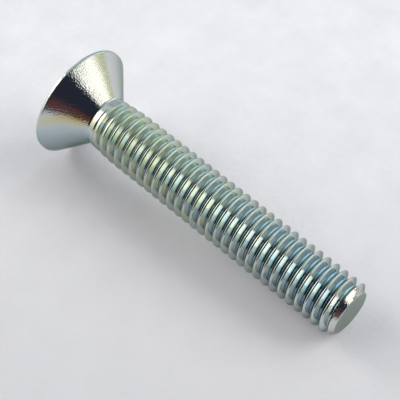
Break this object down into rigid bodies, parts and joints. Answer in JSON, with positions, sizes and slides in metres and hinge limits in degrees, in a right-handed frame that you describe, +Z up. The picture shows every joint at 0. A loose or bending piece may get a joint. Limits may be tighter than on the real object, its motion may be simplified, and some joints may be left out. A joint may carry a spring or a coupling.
{
  "type": "countersunk socket screw",
  "caption": "Fully threaded countersunk screw with a hexagon socket in its flat head and a chamfered tip, zinc plated, lying on its side.",
  "frame": {"origin": "middle of the bounding box on the ground", "axes": "+X from the head towards the tip, along the ground; +Z up; +Y across the screw"},
  "size_m": [0.0356, 0.0118, 0.0117],
  "materials": {
    "zinc_plated_steel": "bright zinc plate with a faint blue and yellow passivation tint"
  },
  "bodies": {
    "root": {"countersunk_socket_screw": "zinc_plated_steel"}
  },
  "joints": []
}
